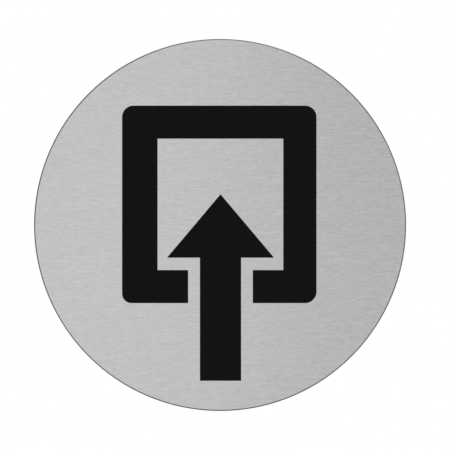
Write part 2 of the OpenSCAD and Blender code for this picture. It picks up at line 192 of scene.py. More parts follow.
def slab(outline, holes, w0, w1, edge=0.1, m=None, bm=None, steps=2, edge0=None):
    """A flat plate: an outline with holes in (u, v), from w0 to w1, every rim rounded."""
    bm = bm or bmesh.new()
    m = m or Matrix.Identity(4)
    edge0 = edge if edge0 is None else edge0
    if area_of(outline) < 0:
        outline = outline[::-1]
    loops = [outline] + [h[::-1] if area_of(h) > 0 else h for h in holes]
    levels = []  # (inset, w)
    for k in range(steps + 1 if edge0 > 0 else 1):
        a = PI / 2 * k / steps if edge0 > 0 else PI / 2
        levels.append((edge0 * (1 - math.sin(a)), w0 + edge0 * (1 - math.cos(a))))
    for k in range(steps + 1 if edge > 0 else 1):
        a = PI / 2 * k / steps if edge > 0 else 0
        levels.append((edge * (1 - math.cos(a)), w1 - edge * (1 - math.sin(a))))
    caps = [[], []]
    for li, loop in enumerate(loops):
        sign = 1 if li == 0 else -1
        rows = []
        for d, w in levels:
            pts = inset(loop, d * sign) if d > 1e-9 else loop
            rows.append([bm.verts.new(m @ Vector((p[0], p[1], w))) for p in pts])
            if w == levels[0][1]:
                low = pts
            if w == levels[-1][1]:
                high = pts
        n = len(loop)
        for r in range(len(rows) - 1):
            for i in range(n):
                j = (i + 1) % n
                bm.faces.new((rows[r][i], rows[r][j], rows[r + 1][j], rows[r + 1][i]))
        caps[0].append((low, rows[0]))
        caps[1].append((high, rows[-1]))
    for side, cap in enumerate(caps):
        flat = [v for _, vs in cap for v in vs]
        tris = geometry.tessellate_polygon([[Vector((p[0], p[1], 0)) for p in pts] for pts, _ in cap])
        for t in tris:
            vs = [flat[i] for i in t]
            a, b, c = (v.co for v in vs)
            if (b - a).cross(c - a).length < 1e-12:
                continue
            try:
                bm.faces.new(vs)
            except ValueError:
                pass
    return bm


def tube(points, r, n=12, bm=None, m=None):
    """A round wire along points, with flat ends."""
    bm = bm or bmesh.new()
    m = m or Matrix.Identity(4)
    pts = [Vector(p) for p in points]
    rows = []
    t0 = (pts[1] - pts[0]).normalized()
    side = t0.orthogonal().normalized()
    for i, p in enumerate(pts):
        t = (pts[min(i + 1, len(pts) - 1)] - pts[max(i - 1, 0)]).normalized()
        side = (side - t * side.dot(t)).normalized()
        up = t.cross(side)
        rows.append([bm.verts.new(m @ (p + side * (r * math.cos(2 * PI * k / n)) + up * (r * math.sin(2 * PI * k / n)))) for k in range(n)])
    for a, b in zip(rows, rows[1:]):
        for k in range(n):
            bm.faces.new((a[k], a[(k + 1) % n], b[(k + 1) % n], b[k]))
    bm.faces.new(rows[0])
    bm.faces.new(rows[-1][::-1])
    return bm


def box_bm(x0, y0, z0, x1, y1, z1, bm=None, m=None):
    bm = bm or bmesh.new()
    m = m or Matrix.Identity(4)
    v = [bm.verts.new(m @ Vector((x, y, z))) for z in (z0, z1) for y in (y0, y1) for x in (x0, x1)]
    for f in ((0, 2, 3, 1), (4, 5, 7, 6), (0, 1, 5, 4), (2, 6, 7, 3), (0, 4, 6, 2), (1, 3, 7, 5)):
        bm.faces.new([v[i] for i in f])
    return bm


def rod(r, w0, w1, n=48, m=None, bm=None):
    """A plain cylinder along w."""
    return lathe([(0, w0), (r, w0), (r, w1), (0, w1)], n=n, m=m, bm=bm, closed=False)


def prism(sides, across, w0, w1, m=None, bm=None, a0=0.0):
    r = across / 2 / math.cos(PI / sides)
    return lathe([(0, w0), (r, w0), (r, w1), (0, w1)], n=sides, m=(m or Matrix.Identity(4)) @ turn(a0, "Z"), bm=bm, closed=False)


def clean(bm):
    bmesh.ops.remove_doubles(bm, verts=bm.verts, dist=1e-4)
    bmesh.ops.recalc_face_normals(bm, faces=bm.faces)
    return bm


def to_object(name, bm):
    clean(bm)
    me = bpy.data.meshes.new(name)
    bm.to_mesh(me)
    bm.free()
    o = bpy.data.objects.new(name, me)
    SCENE.collection.objects.link(o)
    return o


def baked(o):
    """The object's mesh with its modifiers applied, and nothing left on the object."""
    bpy.context.view_layer.update()
    dg = bpy.context.evaluated_depsgraph_get()
    me = bpy.data.meshes.new_from_object(o.evaluated_get(dg))
    old = o.data
    o.modifiers.clear()
    o.data = me
    bpy.data.meshes.remove(old)
    return o


def combine(name, bm, cut=(), join=(), bevel=0.0, segments=2, angle=32):
    """A solid with others cut from it or joined to it, and its sharp edges rounded. Still in millimetres."""
    o = to_object(name, bm)
    temps = []
    for op, group in (("UNION", join), ("DIFFERENCE", cut)):
        for g in group:
            t = to_object(name + "_tool", g)
            temps.append(t)
            mod = o.modifiers.new("b", "BOOLEAN")
            mod.operation, mod.solver, mod.object = op, "EXACT", t
    if temps:
        baked(o)
    for t in temps:
        me = t.data
        bpy.data.objects.remove(t)
        bpy.data.meshes.remove(me)
    if bevel > 0:
        mod = o.modifiers.new("v", "BEVEL")
        mod.width, mod.segments, mod.limit_method = bevel, segments, "ANGLE"
        mod.angle_limit = math.radians(angle)
        mod.harden_normals = False
        mod.use_clamp_overlap = True
        baked(o)
    return o


def finish_piece(o, body, nodes, mats, smooth=32, flat=True):
    if isinstance(o, bmesh.types.BMesh):
        raise TypeError("an object is needed")
    me = o.data
    me.transform(PLACE)
    me.validate()
    for p in me.polygons:
        p.use_smooth = True
    me.set_sharp_from_angle(angle=math.radians(smooth))
    index = [p.material_index for p in me.polygons]
    me.materials.clear()  # this zeroes the faces' indices
    for mt in (mats if isinstance(mats, (list, tuple)) else [mats]):
        me.materials.append(mt)
    me.polygons.foreach_set("material_index", index if isinstance(mats, (list, tuple)) else [0] * len(index))
    me.update()
    if flat:
        mod = o.modifiers.new("n", "WEIGHTED_NORMAL")
        mod.mode, mod.weight, mod.keep_sharp = "FACE_AREA", 80, True
    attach(o, body)
    if nodes:
        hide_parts(*(nodes if isinstance(nodes, (list, tuple)) else [nodes]))
    return o


def make(name, bm, body, nodes, mats, smooth=32, flat=True):
    return finish_piece(to_object(name, bm), body, nodes, mats, smooth, flat)


# ---------------------------------------------------------------------------
# Materials. Each is read in the row's own coordinates, in millimetres.
# ---------------------------------------------------------------------------


class Mat:
    def __init__(self, name, color, rough, metal=0.0, **sockets):
        self.m = bpy.data.materials.new(name)
        self.m.use_nodes = True
        self.t = self.m.node_tree
        self.b = self.t.nodes["Principled BSDF"]
        self.color, self.rough = color, rough
        self.b.inputs["Base Color"].default_value = (*color, 1)
        self.b.inputs["Roughness"].default_value = rough
        self.b.inputs["Metallic"].default_value = metal
        for k, v in sockets.items():
            self.b.inputs[k.replace("_", " ")].default_value = v
        self.co = self.node("ShaderNodeTexCoord").outputs["Object"]

    def node(self, kind, **values):
        n = self.t.nodes.new(kind)
        for k, v in values.items():
            setattr(n, k, v)
        return n

    def link(self, a, b):
        self.t.links.new(a, b)

    def noise(self, size, detail=2.0, rough=0.5, seed=0.0, distortion=0.0):
        """Noise whose grains are size mm across: one number, or one for each of X, Y and Z."""
        size = size if hasattr(size, "__len__") else (size,) * 3
        mp = self.node("ShaderNodeMapping")
        mp.inputs["Scale"].default_value = [1000 / s for s in size]
        mp.inputs["Location"].default_value = (seed * 3.17, seed * 7.31, seed * 1.93)
        self.link(self.co, mp.inputs["Vector"])
        n = self.node("ShaderNodeTexNoise")
        n.inputs["Scale"].default_value = 1
        n.inputs["Detail"].default_value = detail
        n.inputs["Roughness"].default_value = rough
        n.inputs["Distortion"].default_value = distortion
        self.link(mp.outputs["Vector"], n.inputs["Vector"])
        return n.outputs["Fac"]

    def span(self, fac, a, b, lo=0.3, hi=0.7):
        """fac from lo..hi turned into a..b."""
        n = self.node("ShaderNodeMapRange")
        n.inputs["From Min"].default_value, n.inputs["From Max"].default_value = lo, hi
        n.inputs["To Min"].default_value, n.inputs["To Max"].default_value = a, b
        self.link(fac, n.inputs["Value"])
        return n.outputs["Result"]

    def math(self, op, a, b):
        n = self.node("ShaderNodeMath", operation=op)
        for s, v in zip(n.inputs, (a, b)):
            if isinstance(v, (int, float)):
                s.default_value = v
            else:
                self.link(v, s)
        return n.outputs[0]

    def mix(self, fac, a, b):
        n = self.node("ShaderNodeMix", data_type="RGBA")
        for s, v in ((n.inputs[0], fac), (n.inputs[6], a), (n.inputs[7], b)):
            if isinstance(v, (int, float)):
                s.default_value = v
            elif isinstance(v, tuple):
                s.default_value = (*v, 1) if len(v) == 3 else v
            else:
                self.link(v, s)
        return n.outputs[2]

    def tint(self, *layers):
        """Colour layers over the base: each is (fac, colour)."""
        c = self.color
        for fac, col in layers:
            c = self.mix(fac, c, col)
        self.link(c, self.b.inputs["Base Color"])
        return self

    def roughness(self, fac):
        self.link(fac, self.b.inputs["Roughness"])
        return self

    def bump(self, *layers):
        """Layers of (height, strength, depth in mm)."""
        prev = None
        for h, strength, depth in layers:
            n = self.node("ShaderNodeBump")
            n.inputs["Strength"].default_value = strength
            n.inputs["Distance"].default_value = depth / 1000
            self.link(h, n.inputs["Height"])
            if prev:
                self.link(prev, n.inputs["Normal"])
            prev = n.outputs["Normal"]
        self.link(prev, self.b.inputs["Normal"])
        return self


def brushed(name, color, along="X", spread=0.29):
    """Straight-grained stainless: short fine strokes over longer fainter ones, blurring reflections across the grain only."""
    m = Mat(name, color, spread, 1.0)
    long = {"X": (9.0, 9.0, 0.35), "Z": (0.35, 0.35, 9.0)}[along]
    short = {"X": (1.9, 1.9, 0.19), "Z": (0.19, 0.19, 1.9)}[along]
    fine = {"X": (0.7, 0.7, 0.07), "Z": (0.07, 0.07, 0.7)}[along]
    n1, n2, n3 = m.noise(short, 2, 0.55, 1), m.noise(long, 2, 0.5, 2), m.noise(fine, 1, 0.5, 3)
    streak = m.math("ADD", m.math("MULTIPLY", n1, 0.78), m.math("MULTIPLY", n2, 0.22))
    dark = tuple(c * 0.893 for c in color)
    light = tuple(min(1, c * 1.095) for c in color)
    m.link(m.mix(m.span(streak, 0, 1, 0.36, 0.64), dark, light), m.b.inputs["Base Color"])
    m.roughness(m.span(streak, spread - 0.03, spread + 0.03))
    m.bump((n1, 0.06, 0.008), (n3, 0.03, 0.003))
    m.b.inputs["Anisotropic"].default_value = 0.91
    m.b.inputs["Anisotropic Rotation"].default_value = 0.25
    return m.m


STEEL = (0.56, 0.555, 0.545)
M = {}
M["brushed_stainless"] = brushed("brushed_stainless", (0.5544, 0.5439, 0.5352))

# Dark steel that paints shade: it stands for the thin dark line round the disc's edge, not for the steel's own colour
e = Mat("painted_shade_steel", (0.16, 0.158, 0.155), 0.42, 1.0)
n = e.noise((0.5, 0.06, 0.5), 2, 0.5, 5)
e.tint((e.span(n, 0, 1), (0.11, 0.108, 0.105)))
e.roughness(e.span(n, 0.36, 0.5)).bump((n, 0.15, 0.01))
M["painted_shade_steel"] = e.m

e = Mat("turned_edge", (0.50, 0.495, 0.485), 0.36, 1.0)
n, f = e.noise((3.0, 0.12, 3.0), 2, 0.5, 6), e.noise((12.0, 12.0, 12.0), 2, 0.5, 8)
e.tint((e.span(n, 0, 1), (0.44, 0.436, 0.428)), (e.span(f, 0, 0.4), (0.55, 0.545, 0.535)))
e.roughness(e.span(n, 0.30, 0.42)).bump((n, 0.25, 0.012))
M["turned_edge"] = e.m

e = Mat("black_enamel", (0.0053, 0.0059, 0.0059), 0.55, 0.0, IOR=1.12)
n = e.noise(6.0, 3, 0.5, 4)
f = e.noise(0.25, 2, 0.5, 9)
e.tint((e.span(n, 0, 0.6), (0.0060, 0.0066, 0.0066)))
e.roughness(e.span(f, 0.50, 0.60)).bump((n, 0.05, 0.02), (f, 0.04, 0.004))
M["black_enamel"] = e.m

e = Mat("bonding_tape", (0.018, 0.018, 0.018), 0.85)
n = e.noise(0.3, 3, 0.6, 4)
e.tint((e.span(n, 0, 1), (0.035, 0.035, 0.034))).roughness(e.span(n, 0.75, 0.95)).bump((n, 0.5, 0.05))
M["bonding_tape"] = e.m

e = Mat("cast_alloy", (0.50, 0.505, 0.51), 0.42, 1.0)
n, f, g = e.noise(9.0, 3, 0.55, 1), e.noise(0.22, 2, 0.5, 2), e.noise(1.6, 3, 0.5, 3)
e.tint((e.span(n, 0, 0.7), (0.44, 0.445, 0.455)), (e.span(g, 0, 0.25, 0.5, 0.75), (0.60, 0.60, 0.60)))
e.roughness(e.span(g, 0.36, 0.50)).bump((f, 0.35, 0.012), (n, 0.05, 0.03))
M["cast_alloy"] = e.m

e = Mat("black_steel", (0.022, 0.022, 0.024), 0.38, 0.6)
n, f = e.noise(0.8, 3, 0.5, 1), e.noise(0.12, 1, 0.5, 2)
e.tint((e.span(n, 0, 1), (0.045, 0.042, 0.040))).roughness(e.span(n, 0.30, 0.48)).bump((f, 0.2, 0.006))
M["black_steel"] = e.m

e = Mat("ground_steel", (0.58, 0.58, 0.585), 0.25, 1.0)
n, f = e.noise((3, 0.10, 3), 2, 0.5, 1), e.noise(1.5, 3, 0.5, 2)
e.tint((e.span(n, 0, 1), (0.50, 0.50, 0.505))).roughness(e.span(f, 0.18, 0.34)).bump((n, 0.12, 0.006))
M["ground_steel"] = e.m

e = Mat("zinc_fasteners", (0.60, 0.615, 0.635), 0.28, 1.0)
n, f = e.noise(1.2, 3, 0.55, 1), e.noise(0.15, 2, 0.5, 2)
e.tint((e.span(n, 0, 0.6), (0.50, 0.52, 0.57)), (e.span(n, 0, 0.35, 0.55, 0.8), (0.68, 0.66, 0.56)))
e.roughness(e.span(n, 0.20, 0.36)).bump((f, 0.12, 0.008))
M["zinc_fasteners"] = e.m

e = Mat("zinc_plate", (0.52, 0.54, 0.565), 0.36, 1.0)
n, f, g = e.noise(14.0, 4, 0.6, 1), e.noise((0.2, 1.0, 5.0), 2, 0.5, 2), e.noise(1.2, 3, 0.5, 3)
e.tint((e.span(n, 0, 0.55), (0.44, 0.47, 0.52)), (e.span(n, 0, 0.30, 0.52, 0.75), (0.62, 0.60, 0.52)),
       (e.span(f, 0, 0.35), (0.46, 0.48, 0.50)))
e.roughness(e.span(g, 0.28, 0.46)).bump((f, 0.12, 0.010), (g, 0.06, 0.012))
M["zinc_plate"] = e.m

e = Mat("epdm", (0.014, 0.014, 0.0145), 0.72)
n, f = e.noise(4.0, 4, 0.6, 1), e.noise(0.25, 3, 0.6, 2)
e.tint((e.span(n, 0, 0.6), (0.024, 0.024, 0.023))).roughness(e.span(f, 0.62, 0.86)).bump((f, 0.35, 0.03))
M["epdm"] = e.m

e = Mat("black_moulding", (0.020, 0.020, 0.021), 0.46)
n, f = e.noise(7.0, 3, 0.5, 1), e.noise(0.30, 2, 0.5, 2)
e.tint((e.span(n, 0, 0.6), (0.028, 0.028, 0.029))).roughness(e.span(f, 0.38, 0.56)).bump((f, 0.45, 0.02))
M["black_moulding"] = e.m

e = Mat("acetal", (0.80, 0.79, 0.75), 0.34)
n, f = e.noise(3.0, 3, 0.5, 1), e.noise(0.4, 2, 0.5, 2)
e.tint((e.span(n, 0, 0.5), (0.74, 0.73, 0.68))).roughness(e.span(n, 0.28, 0.42)).bump((f, 0.06, 0.01))
e.b.inputs["Subsurface Weight"].default_value = 0.15
e.b.inputs["Subsurface Scale"].default_value = 0.001
M["acetal"] = e.m

e = Mat("spring_wire", (0.52, 0.52, 0.53), 0.26, 1.0)
n = e.noise(0.3, 3, 0.5, 1)
e.tint((e.span(n, 0, 0.8), (0.42, 0.42, 0.43))).roughness(e.span(n, 0.20, 0.36)).bump((n, 0.08, 0.006))
M["spring_wire"] = e.m

e = Mat("switch_moulding", (0.030, 0.028, 0.027), 0.40)
n, f = e.noise(2.5, 4, 0.6, 1), e.noise(0.14, 2, 0.5, 2)
e.tint((e.span(n, 0, 0.6), (0.042, 0.038, 0.036))).roughness(e.span(f, 0.32, 0.50)).bump((f, 0.30, 0.008))
M["switch_moulding"] = e.m

e = Mat("plunger_moulding", (0.50, 0.045, 0.025), 0.32)
n = e.noise(0.6, 3, 0.5, 1)
e.tint((e.span(n, 0, 0.5), (0.42, 0.035, 0.02))).roughness(e.span(n, 0.26, 0.40)).bump((n, 0.05, 0.006))
M["plunger_moulding"] = e.m

e = Mat("terminal_brass", (0.76, 0.60, 0.31), 0.26, 1.0)
n, f = e.noise(2.2, 4, 0.6, 1), e.noise((0.12, 2.0, 1.5), 2, 0.5, 2)
e.tint((e.span(n, 0, 0.7), (0.62, 0.46, 0.22)), (e.span(f, 0, 0.3), (0.80, 0.66, 0.38)))
e.roughness(e.span(n, 0.20, 0.38)).bump((f, 0.10, 0.006))
M["terminal_brass"] = e.m

e = Mat("contact_silver", (0.86, 0.85, 0.83), 0.22, 1.0)
n = e.noise(0.5, 3, 0.5, 1)
e.tint((e.span(n, 0, 0.5), (0.70, 0.68, 0.62))).roughness(e.span(n, 0.16, 0.32)).bump((n, 0.06, 0.004))
M["contact_silver"] = e.m

e = Mat("lever_steel", (0.58, 0.58, 0.58), 0.27, 1.0)
n = e.noise((0.12, 3, 3), 2, 0.5, 1)
e.tint((e.span(n, 0, 0.8), (0.50, 0.50, 0.505))).roughness(e.span(n, 0.22, 0.36)).bump((n, 0.10, 0.006))
M["lever_steel"] = e.m

e = Mat("blade_copper", (0.74, 0.46, 0.27), 0.26, 1.0)
n = e.noise(1.0, 3, 0.5, 1)
e.tint((e.span(n, 0, 0.6), (0.60, 0.36, 0.20))).roughness(e.span(n, 0.20, 0.34)).bump((n, 0.06, 0.004))
M["blade_copper"] = e.m

# Every CAD node takes the material of its slot, whether or not a piece stands for it later
for sp in frame["record"]["subparts"]:
    node = frame["nodes"][sp["node"]]
    node.data.materials.clear()
    node.data.materials.append(M[sp["material_slot"]])

# ---------------------------------------------------------------------------
# Dimensions that the pieces share with the CAD, in millimetres
# ---------------------------------------------------------------------------

disc_r = DISC_R * 1000
face_z = -FACE_Y * 1000
disc_z0 = -hi.y * 1000
POSTS = [(sx * 19, sy * 27) for sx in (-1, 1) for sy in (-1, 1)]
GRUBS = (30, 150, 270)
WALL_SCREWS = [(0, 41.67), (0, -41.67), (30.15, 0), (-30.15, 0)]
FOOT = [(14, -13), (14, 3)]
RING_SCREWS = [(47.4 * math.cos(math.radians(a)), 47.4 * math.sin(math.radians(a))) for a in (45, 135, 225, 315)]
case_y0, case_y1, case_z0, case_z1, case_x = -18.9, 8.9, -11.9, 4.0, 5.15
HOLES = [(case_y0 + 2.8, case_z0 + 2.8), (case_y1 - 2.8, case_z1 - 2.8)]

# ---------------------------------------------------------------------------
# The face: a brushed disc with two pockets, and the enamel that fills them
# ---------------------------------------------------------------------------

fx0, fx1, fy0, fy1, bar, gap = -30.1, 29.6, -24.0, 36.65, 10.2, 19.84
ix0, ix1, iy0, iy1 = fx0 + bar + 0.7, fx1 - bar, fy0 + bar - 0.05, fy1 - bar + 0.05
gx0, gx1 = 0.11 - gap / 2, 0.11 + gap / 2
FRAME_2D = fillet(
    [(fx0, fy0), (gx0, fy0), (gx0, iy0), (ix0, iy0), (ix0, iy1), (ix1, iy1), (ix1, iy0), (gx1, iy0),
     (gx1, fy0), (fx1, fy0), (fx1, fy1), (fx0, fy1)],
    [2.9, 0.08, 0.08, 0.08, 0.08, 0.08, 0.08, 0.08, 0.08, 3.5, 3.5, 3.5], steps=10)
ARROW_2D = fillet(
    [(0.13 + x, y) for x, y in ((-6.33, -47.85), (6.33, -47.85), (6.33, -10.05), (16.45, -10.05), (0, 9.45),
                                (-16.45, -10.05), (-6.33, -10.05))], 0.08, steps=3)
DEPTH = 0.5

disc = lathe(
    fillet([(0, disc_z0), (disc_r, disc_z0), (disc_r, face_z - 0.35), (disc_r - 0.35, face_z), (0, face_z)],
           [0, 0.2, 0.12, 0.06, 0], closed=False, steps=3), n=256, closed=False)
disc = combine("face_disc_body", disc,
               cut=[slab(o, [], face_z - DEPTH, face_z + 1, edge=0) for o in (FRAME_2D, ARROW_2D)])
# The chamfer, and the back face where it lies against the carrier, take the dark steel as painted shade; the side wall
# takes the turned edge
for p in disc.data.polygons:
    c, r = Vector(p.center), math.hypot(p.center[0], p.center[1])
    broken = r > disc_r - 0.37 and face_z - 0.39 < c.z < face_z - 1e-4
    turned_edge = r > disc_r - 0.3 and c.z <= face_z - 0.39
    p.material_index = 1 if broken or c.z < disc_z0 + 0.01 else 2 if turned_edge else 0
finish_piece(disc, "push_plate", "face_disc", [M["brushed_stainless"], M["painted_shade_steel"], M["turned_edge"]], 25)

for nm, outline in (("symbol_frame", FRAME_2D), ("symbol_arrow", ARROW_2D)):
    make(nm + "_inlay", slab(outline, [], face_z - DEPTH, face_z - 0.02, edge=0.05, edge0=0, steps=2),
         "push_plate", nm, M["black_enamel"], 40)

# ---------------------------------------------------------------------------
# Fasteners
# ---------------------------------------------------------------------------


def threaded(r, pitch, w0, w1, n=36, m=None, bm=None, per=6):
    """A rod with a real screw thread, its ends chamfered."""
    bm = bm or bmesh.new()
    m = m or Matrix.Identity(4)
    depth = 0.5 * pitch
    rows = max(4, int(round((w1 - w0) / pitch * per)))
    grid = []
    for i in range(rows + 1):
        w = w0 + (w1 - w0) * i / rows
        lim = r - depth * 1.1 + min(w - w0, w1 - w) * 1.2
        ring = []
        for j in range(n):
            f = (w / pitch - j / n) % 1.0
            h = min(1.0, max(0.0, (1 - abs(2 * f - 1) - 0.12) / 0.76))
            rr = min(r - depth * (1 - h), max(lim, r - depth * 1.1))
            a = 2 * PI * j / n
            ring.append(bm.verts.new(m @ Vector((rr * math.cos(a), rr * math.sin(a), w))))
        grid.append(ring)
    for a, b in zip(grid, grid[1:]):
        for j in range(n):
            bm.faces.new((a[j], a[(j + 1) % n], b[(j + 1) % n], b[j]))
    bm.faces.new(grid[0][::-1])
    bm.faces.new(grid[-1])
    return bm


AXES = {  # where (u, v, w) go
    "z": Matrix.Identity(4),
    "x": Matrix(((0, 0, 1, 0), (1, 0, 0, 0), (0, 1, 0, 0), (0, 0, 0, 1))),      # w along x, u along y, v along z
    "y": Matrix(((1, 0, 0, 0), (0, 0, -1, 0), (0, 1, 0, 0), (0, 0, 0, 1))),     # w along -y, u along x, v along z
}


def add(dst, o):
    """Puts a finished temporary object's mesh into a bmesh and removes the object."""
    dst.from_mesh(o.data)
    me = o.data
    bpy.data.objects.remove(o)
    bpy.data.meshes.remove(me)
    return dst


def copies(src, places):
    """One bmesh with the source object's mesh at each place."""
    out = bmesh.new()
    for m in places:
        t = src.data.copy()
        t.transform(m)
        out.from_mesh(t)
        bpy.data.meshes.remove(t)
    me = src.data
    bpy.data.objects.remove(src)
    bpy.data.meshes.remove(me)
    return out


def cross_recess(top, size, depth):
    """The tool that cuts a cross recess: two tapered blades and a point."""
    wedge = [(-size / 2, top + 0.5), (size / 2, top + 0.5), (size / 2, top), (size * 0.22, top - depth),
             (-size * 0.22, top - depth), (-size / 2, top)]
    out = []
    for a in (0, 90):
        out.append(slab(wedge, [], -size * 0.115, size * 0.115, edge=0, m=turn(a, "Z") @ AXES["y"]))
    out.append(lathe([(0, top - depth), (size * 0.2, top - depth * 0.8), (size * 0.27, top + 0.3), (0, top + 0.3)], n=20, closed=False))
    return out


def pan_screw(r, head_r, head_h, length, pitch, drive, plain=0.0):
    """Head seated at w = 0 with its top at head_h, the shank running to -length."""
    prof = fillet([(0, 0), (head_r, 0), (head_r, head_h * 0.62), (head_r * 0.72, head_h), (0, head_h)],
                  [0, 0.12, head_h * 0.42, head_h * 0.35, 0], closed=False, steps=5)
    head = combine("screw", lathe(prof, n=48, closed=False), cut=cross_recess(head_h, drive, head_h * 0.62), bevel=0.04, segments=1)
    out = add(bmesh.new(), head)
    if plain > 0:
        rod(r, -plain, 0.05, n=36, bm=out)
    threaded(r, pitch, -length, -plain + 0.05, bm=out)
    return to_object("screw", out)


def hex_nut(af, h, bore):
    """A chamfered hexagon nut from w = 0 to h."""
    o = to_object("nut", prism(6, af, 0, h))
    c = af / 2
    barrel = to_object("nut_tool", lathe([(0, -0.01), (c * 0.98, -0.01), (c * 1.16, h * 0.17), (c * 1.16, h * 0.83), (c * 0.98, h + 0.01), (0, h + 0.01)], n=60, closed=False))
    hole = to_object("nut_tool", lathe([(0, -0.5), (bore + 0.35, -0.5), (bore + 0.3, 0), (bore, 0.3), (bore, h - 0.3), (bore + 0.3, h), (bore + 0.35, h + 0.5), (0, h + 0.5)], n=40, closed=False))
    for op, t in (("INTERSECT", barrel), ("DIFFERENCE", hole)):
        mod = o.modifiers.new("b", "BOOLEAN")
        mod.operation, mod.solver, mod.object = op, "EXACT", t
    baked(o)
    for t in (barrel, hole):
        me = t.data
        bpy.data.objects.remove(t)
        bpy.data.meshes.remove(me)
    mod = o.modifiers.new("v", "BEVEL")
    mod.width, mod.segments, mod.limit_method, mod.angle_limit = 0.05, 1, "ANGLE", math.radians(40)
    return baked(o)


# ---------------------------------------------------------------------------
# The rest of the push plate
# ---------------------------------------------------------------------------

carrier = lathe(
    fillet([(0, 20), (53.6, 20), (53.6, 9.5), (56.3, 9.5), (56.3, 23), (0, 23)],
           [0, 0.5, 0.45, 0.7, 0.8, 0], closed=False, steps=5), n=256, closed=False)
radial = [turn(a, "Z") @ turn(90, "Y") for a in GRUBS]  # w runs outwards from the axis
carrier = combine("carrier", carrier, bevel=0.14, segments=2, angle=34,
                  cut=[rod(1.54, 50, 60, n=40, m=m @ shift(-17.4, 0, 0)) for m in radial])
finish_piece(carrier, "push_plate", "face_carrier", M["cast_alloy"], 30)

grub = combine("grub", threaded(1.5, 0.5, 51, 56, n=36), cut=[prism(6, 1.5, 54.1, 57)], bevel=0)
make("grub_set_screws", copies(grub, [m @ shift(-17.4, 0, 0) for m in radial]), "push_plate", "grub_screws",
     M["black_steel"], 35)

bm = bmesh.new()
for x, y in POSTS:
    lathe(fillet([(0, -0.5), (0.55, -1), (2.5, -1), (2.5, 1.3), (2, 1.3), (2, 2.05), (2.5, 2.05), (2.5, 17.5), (0, 17.5)],
                 [0, 0, 0.5, 0.05, 0.05, 0.05, 0.05, 0.1, 0], closed=False, steps=3), n=56, m=shift(x, y, 0), bm=bm, closed=False)
make("guide_post_set", bm, "push_plate", "guide_posts", M["ground_steel"], 28)

bm = bmesh.new()
for x, y in POSTS:
    lathe(fillet([(2.56, 2.15), (5, 2.15), (5, 2.95), (2.56, 2.95)], 0.12, steps=3), n=56, m=shift(x, y, 0), bm=bm)
make("post_washer_set", bm, "push_plate", "post_washers", M["zinc_fasteners"], 40)


def clip_outline():
    pts = [(4.5 * math.cos(math.radians(a)), 4.5 * math.sin(math.radians(a))) for a in np.linspace(-65, 245, 60)]
    inner = []
    for c in (205, 90, -25):
        inner.append([(c + 14.5, 3.2), (c + 20, 2.06), (c - 20, 2.06), (c - 14.5, 3.2)])
    path = [(233.6, 3.2), (228, 3.2)]
    for k, tooth in enumerate(inner):
        for i, (a, r) in enumerate(tooth):
            if i == 2:
                path += [(q, 2.06) for q in np.linspace(tooth[1][0], a, 7)[1:-1]]
            path.append((a, r))
        if k < 2:
            path += [(q, 3.2) for q in np.linspace(tooth[3][0], inner[k + 1][0][0], 12)[1:-1]]
    path.append((-53.6, 3.2))
    return pts + [(r * math.cos(math.radians(a)), r * math.sin(math.radians(a))) for a, r in path]


bm = bmesh.new()
for x, y in POSTS:
    slab(clip_outline(), [], 1.35, 2.0, edge=0.08, m=shift(x, y, 0), bm=bm)
make("retaining_clip_set", bm, "push_plate", "retaining_clips", M["black_steel"], 40)

bm = threaded(2.0, 0.7, 10.6, 19.4, n=40)
lathe(fillet([(0, 8.95), (1.45, 8.95), (1.5, 10.9), (0, 10.9)], [0, 1.1, 0, 0], closed=False, steps=6), n=40, bm=bm, closed=False)
striker = combine("striker", bm, cut=[box_bm(-0.4, -3, 18.4, 0.4, 3, 21)])
finish_piece(striker, "push_plate", "striker_screw", M["zinc_fasteners"], 35)
make("striker_jam_nut", copies(hex_nut(7, 3.2, 2.02), [shift(0, 0, 11.8)]), "push_plate", "striker_nut",
     M["zinc_fasteners"], 35)

# ---------------------------------------------------------------------------
# The base
# ---------------------------------------------------------------------------

ribs = [(56, 0.45), (55.2, 0.45), (54.9, 0.0), (54.1, 0.0), (53.8, 0.45), (51.6, 0.45), (51.3, 0.0), (50.5, 0.0), (50.2, 0.45),
        (47.9, 0.45), (47.6, 0.0), (46.8, 0.0), (46.5, 0.45), (45.5, 0.45)]
prof = fillet([(45.5, 2), (56, 2)] + ribs, [0.2, 0.3, 0.3] + [0.12] * 12 + [0.2], steps=3)
a = math.degrees(math.asin(3 / 51))
make("wall_gasket_ring", lathe(prof, n=192, a0=-90 + a, a1=270 - a), "base", "wall_gasket", M["epdm"], 35)

ring = lathe(fillet([(45, 2), (56.5, 2), (56.5, 6), (53, 6), (53, 11.5), (50.4, 11.5), (50.4, 6), (45, 6)],
                    [0.25, 0.3, 0.8, 0.35, 0.4, 0.4, 0.1, 0.3], steps=4), n=256)
ring = combine("ring", ring, bevel=0.12, segments=2, angle=34,
               cut=[box_bm(-2.5, -56, 8.2, 2.5, -48, 10)] + [rod(1.5, 2.7, 9, n=32, m=shift(x, y, 0)) for x, y in RING_SCREWS])
finish_piece(ring, "base", "weather_ring", M["black_moulding"], 30)

window = fillet(rect(-5.5, case_y0 - 0.6, 5.5, case_y1 + 0.6), 2, steps=8)
plate_holes = ([circle(2.2, 40, x, y) for x, y in WALL_SCREWS] + [circle(4.03, 56, x, y) for x, y in POSTS]
               + [circle(1.6, 32, x, y) for x, y in FOOT + RING_SCREWS] + [window])
make("base_plate_sheet", slab(circle(50, 256), plate_holes, 6, 8, edge=0.18, steps=3), "base", "base_plate",
     M["zinc_plate"], 32)

make("ring_screw_set", copies(pan_screw(1.45, 2.6, 1.8, 5, 0.9, 2.6), [shift(x, y, 8) @ turn(17 * i, "Z") for i, (x, y) in enumerate(RING_SCREWS)]),
     "base", "ring_screws", M["zinc_fasteners"], 35)

